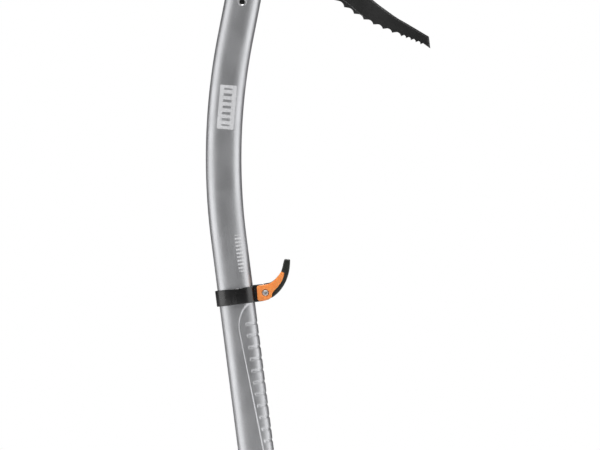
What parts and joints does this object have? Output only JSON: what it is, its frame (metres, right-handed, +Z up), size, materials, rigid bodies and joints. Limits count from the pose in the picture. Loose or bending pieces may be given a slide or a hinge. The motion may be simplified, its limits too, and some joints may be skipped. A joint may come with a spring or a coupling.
{
  "type": "ice axe",
  "caption": "Technical ice axe with a bent oval shaft, toothed pick, adze, spike and a lever-locked finger rest that slides on the grip.",
  "frame": {"origin": "centre of the karabiner eye through the head", "axes": "+Z up from the spike to the head, +X forward towards the pick's point, Y across the axe along the eye's axis"},
  "size_m": [0.2407, 0.0536, 0.524],
  "materials": {
    "shaft_aluminium": "satin anodised with a fine lengthwise grain",
    "head_alloy": "black hard-anodised forging, satin",
    "pick_steel": "black coated tool steel with ground edges",
    "adze_steel": "black coated tool steel with a ground cutting edge",
    "fasteners": "zinc-plated steel, satin",
    "rivets": "bare stainless steel, turned",
    "spike_steel": "stainless steel, blasted and ground",
    "plug_plastic": "black glass-filled nylon",
    "band_plastic": "black glass-filled nylon, fine texture",
    "liner_rubber": "moulded rubber",
    "horn_plastic": "black glass-filled nylon, satin",
    "cheek_plastic": "orange moulded nylon, satin",
    "pivot_steel": "zinc-plated steel",
    "bush_metal": "plain bronze"
  },
  "bodies": {
    "shaft": {"shaft_tube": "shaft_aluminium", "head_body": "head_alloy", "pick": "pick_steel", "adze": "adze_steel", "front_bolt": "fasteners", "rear_bolt": "fasteners", "head_nuts": "fasteners", "head_washers": "fasteners", "head_rivets": "rivets", "spike": "spike_steel", "spike_plug_left": "plug_plastic", "spike_plug_right": "plug_plastic", "spike_rivets": "rivets"},
    "finger_rest": {"rest_band": "band_plastic", "band_liner": "liner_rubber", "pressure_shoe": "band_plastic", "pivot_screw": "pivot_steel", "pivot_nut": "pivot_steel", "pivot_bush": "bush_metal"},
    "trigger": {"trigger_core": "horn_plastic", "trigger_cheek_left": "cheek_plastic", "trigger_cheek_right": "cheek_plastic"}
  },
  "joints": [
    {"name": "rest_slide", "type": "slide", "parent": "shaft", "child": "finger_rest", "axis": [-0.1276, 0, 0.9918], "range_m": [-0.12, 0.036]},
    {"name": "trigger_pivot", "type": "hinge", "parent": "finger_rest", "child": "trigger", "pos_m": [0.00876, 0, -0.29792], "axis": [0, 1, 0], "range_deg": [0, 60]}
  ]
}
